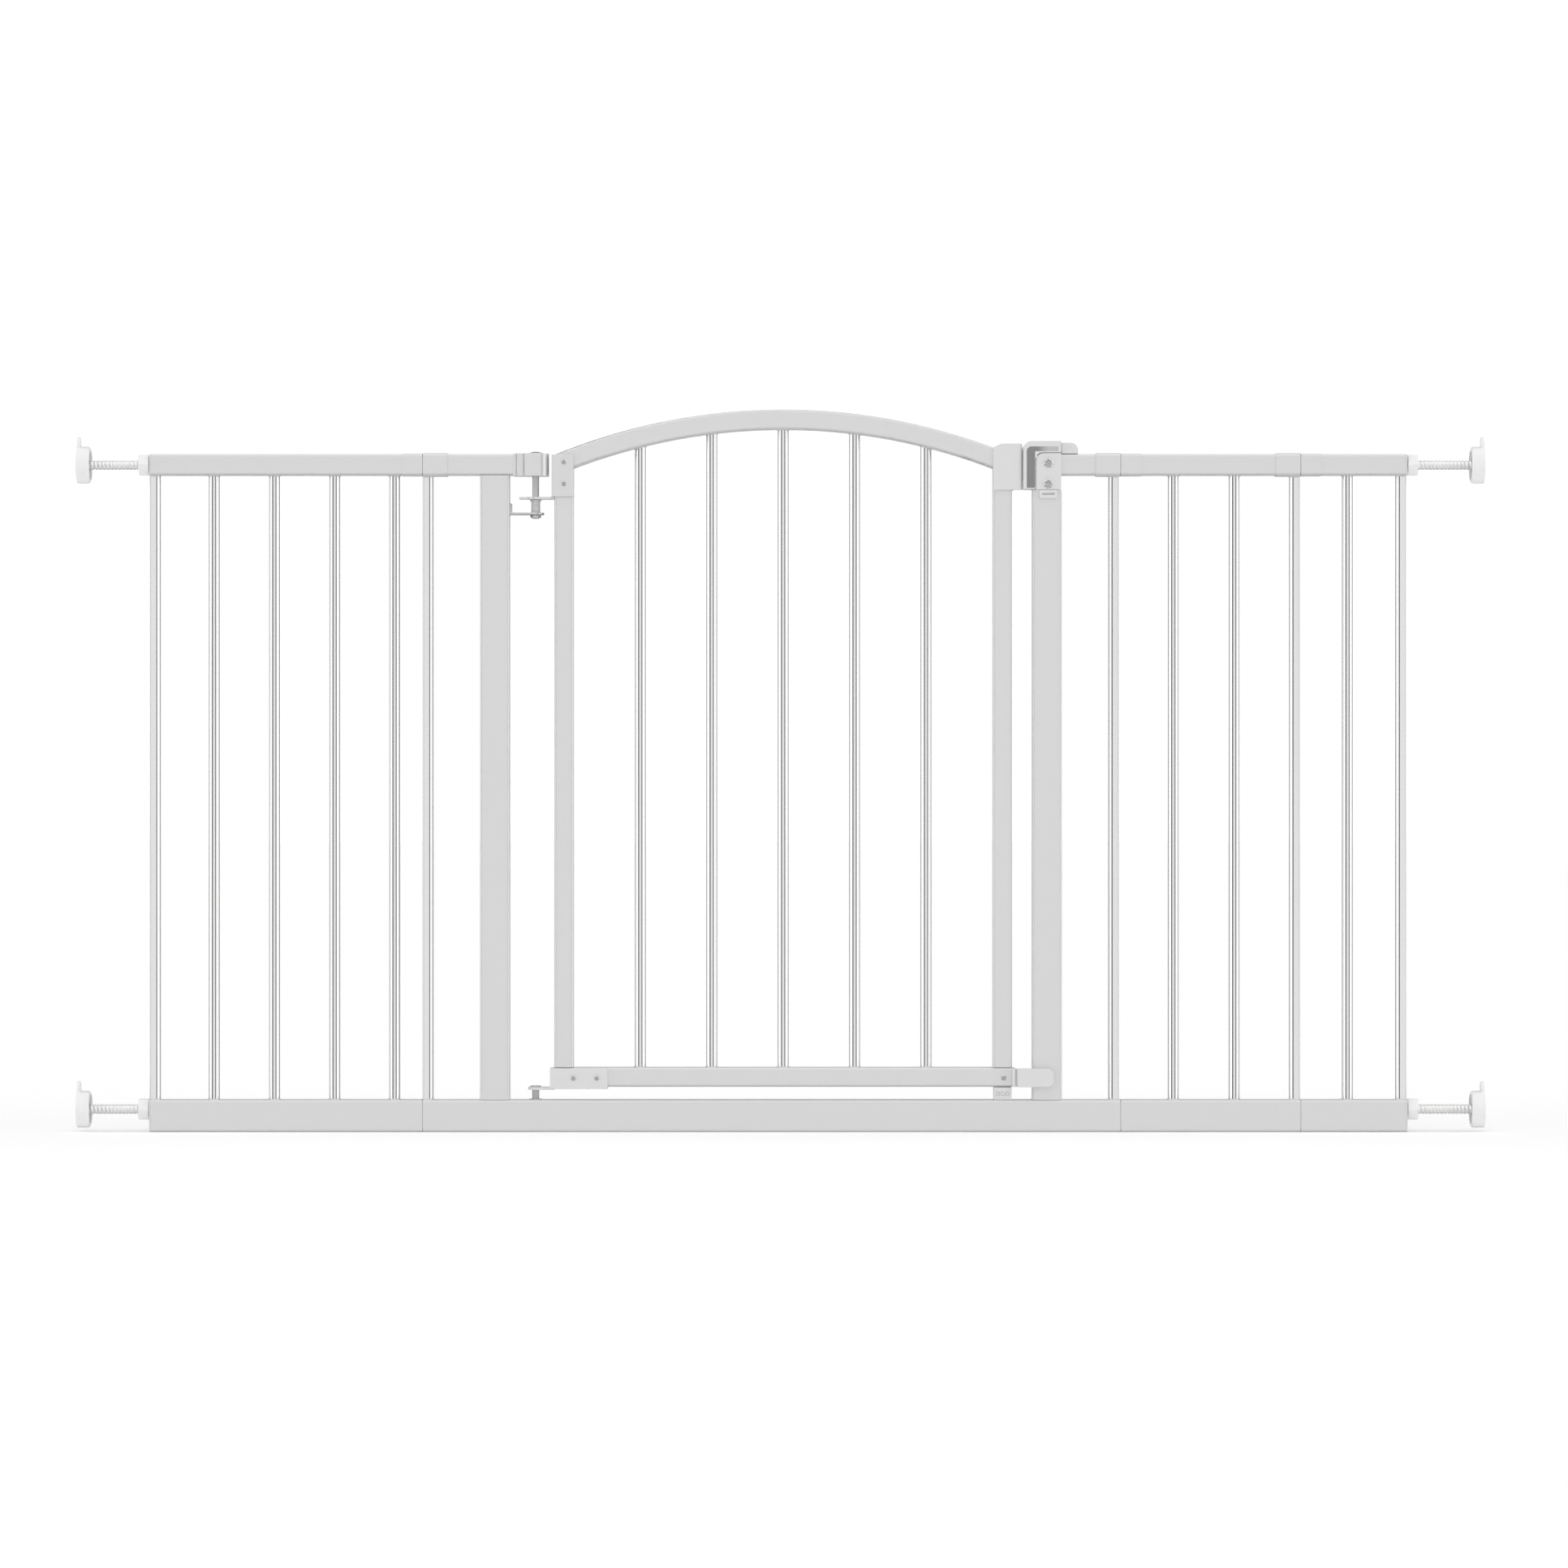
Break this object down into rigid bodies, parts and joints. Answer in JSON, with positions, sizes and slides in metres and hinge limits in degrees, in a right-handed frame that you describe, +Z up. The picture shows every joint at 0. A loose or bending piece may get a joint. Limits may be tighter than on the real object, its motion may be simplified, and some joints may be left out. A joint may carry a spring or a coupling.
{
  "type": "pressure-fitted safety gate",
  "caption": "Wide pressure-fitted metal safety gate with an arched swing door, extension panels, a lift latch and threaded tension rods with wall cups.",
  "frame": {"origin": "on the floor, midway between the two walls and midway through the gate's depth", "axes": "+X along the gate towards the latch side, +Z up, the front faces -Y"},
  "size_m": [1.485, 0.039, 0.762],
  "materials": {
    "rail_paint": "satin powder coat, pale grey-white",
    "bar_paint": "gloss powder coat, white",
    "white_plastic": "fine grained moulded plastic, white",
    "grip_plastic": "fine grained moulded plastic, mid grey",
    "cam_plastic": "smooth bearing plastic, pale grey",
    "zinc_steel": "bright zinc plate",
    "rod_zinc": "rolled thread, bright zinc plate",
    "fitting_plastic": "moulded, bright white",
    "foot_rubber": "matt grey rubber"
  },
  "bodies": {
    "frame": {"base_rail": "rail_paint", "hinge_post": "rail_paint", "latch_post": "rail_paint", "rail_left": "rail_paint", "rail_right": "rail_paint", "end_bars": "bar_paint", "panel_bars": "bar_paint", "rail_sleeves": "rail_paint", "rail_collars": "rail_paint", "panel_joiners": "zinc_steel", "left_panel_top": "rail_paint", "left_panel_base": "rail_paint", "near_panel_top": "rail_paint", "near_panel_base": "rail_paint", "far_panel_top": "rail_paint", "far_panel_base": "rail_paint", "end_plugs": "white_plastic", "hinge_block": "rail_paint", "hinge_rod": "zinc_steel", "hinge_nut": "zinc_steel", "hinge_plate": "zinc_steel", "lower_cam": "cam_plastic", "hinge_bush": "cam_plastic", "latch_housing": "white_plastic", "latch_screws": "zinc_steel", "latch_tab": "white_plastic", "stop_block": "white_plastic"},
    "lift": {"upper_cam": "cam_plastic"},
    "door": {"arch_rail": "rail_paint", "hinge_stile": "rail_paint", "latch_stile": "rail_paint", "door_rail": "rail_paint", "door_bars": "bar_paint", "top_bracket": "rail_paint", "bottom_bracket": "white_plastic", "bracket_screws": "zinc_steel", "hinge_pin": "zinc_steel", "door_cap": "white_plastic", "door_stop": "white_plastic"},
    "handle": {"release_handle": "white_plastic", "grip_inlay": "grip_plastic"},
    "slider": {"thumb_slider": "white_plastic"},
    "bolt": {"latch_bolt": "zinc_steel"},
    "spindle_upper_left": {"rod_upper_left": "rod_zinc", "foot_upper_left": "foot_rubber", "cup_upper_left": "fitting_plastic"},
    "adjuster_upper_left": {"nut_upper_left": "fitting_plastic"},
    "spindle_upper_right": {"rod_upper_right": "rod_zinc", "foot_upper_right": "foot_rubber", "cup_upper_right": "fitting_plastic"},
    "adjuster_upper_right": {"nut_upper_right": "fitting_plastic"},
    "spindle_lower_left": {"rod_lower_left": "rod_zinc", "foot_lower_left": "foot_rubber", "cup_lower_left": "fitting_plastic"},
    "adjuster_lower_left": {"nut_lower_left": "fitting_plastic"},
    "spindle_lower_right": {"rod_lower_right": "rod_zinc", "foot_lower_right": "foot_rubber", "cup_lower_right": "fitting_plastic"},
    "adjuster_lower_right": {"nut_lower_right": "fitting_plastic"}
  },
  "joints": [
    {"name": "door_lift", "type": "slide", "parent": "frame", "child": "lift", "axis": [0, 0, 1], "range_m": [0, 0.01]},
    {"name": "door_swing", "type": "hinge", "parent": "lift", "child": "door", "pos_m": [-0.2586, 0, 0], "axis": [0, 0, -1], "range_deg": [0, 95], "stiffness_Nm_per_rad": 0.4, "springref_deg": -17.19},
    {"name": "handle_lift", "type": "slide", "parent": "frame", "child": "handle", "axis": [0, 0, 1], "range_m": [0, 0.008], "stiffness_N_per_m": 300, "springref_m": -0.004},
    {"name": "slider_push", "type": "slide", "parent": "handle", "child": "slider", "axis": [1, 0, 0], "range_m": [0, 0.005], "stiffness_N_per_m": 150, "springref_m": -0.004},
    {"name": "bolt_draw", "type": "slide", "parent": "frame", "child": "bolt", "axis": [1, 0, 0], "range_m": [0, 0.008]},
    {"name": "nut_turn_upper_left", "type": "hinge", "parent": "frame", "child": "adjuster_upper_left", "pos_m": [-0.6719, 0, 0.7037], "axis": [-1, 0, 0], "range_deg": [-1441, 1801]},
    {"name": "rod_travel_upper_left", "type": "slide", "parent": "frame", "child": "spindle_upper_left", "axis": [-1, 0, 0], "range_m": [-0.02, 0.016]},
    {"name": "nut_turn_upper_right", "type": "hinge", "parent": "frame", "child": "adjuster_upper_right", "pos_m": [0.6672, 0, 0.7037], "axis": [1, 0, 0], "range_deg": [-1441, 1801]},
    {"name": "rod_travel_upper_right", "type": "slide", "parent": "frame", "child": "spindle_upper_right", "axis": [1, 0, 0], "range_m": [-0.02, 0.016]},
    {"name": "nut_turn_lower_left", "type": "hinge", "parent": "frame", "child": "adjuster_lower_left", "pos_m": [-0.6719, 0, 0.0237], "axis": [-1, 0, 0], "range_deg": [-1441, 1801]},
    {"name": "rod_travel_lower_left", "type": "slide", "parent": "frame", "child": "spindle_lower_left", "axis": [-1, 0, 0], "range_m": [-0.02, 0.016]},
    {"name": "nut_turn_lower_right", "type": "hinge", "parent": "frame", "child": "adjuster_lower_right", "pos_m": [0.6672, 0, 0.0237], "axis": [1, 0, 0], "range_deg": [-1441, 1801]},
    {"name": "rod_travel_lower_right", "type": "slide", "parent": "frame", "child": "spindle_lower_right", "axis": [1, 0, 0], "range_m": [-0.02, 0.016]}
  ],
  "couplings": [
    {"joint": "bolt_draw", "follows": "handle_lift", "ratio": 1},
    {"joint": "nut_turn_upper_left", "follows": "rod_travel_upper_left", "rad_per_m": -1570.8},
    {"joint": "nut_turn_upper_right", "follows": "rod_travel_upper_right", "rad_per_m": -1570.8},
    {"joint": "nut_turn_lower_left", "follows": "rod_travel_lower_left", "rad_per_m": -1570.8},
    {"joint": "nut_turn_lower_right", "follows": "rod_travel_lower_right", "rad_per_m": -1570.8}
  ]
}
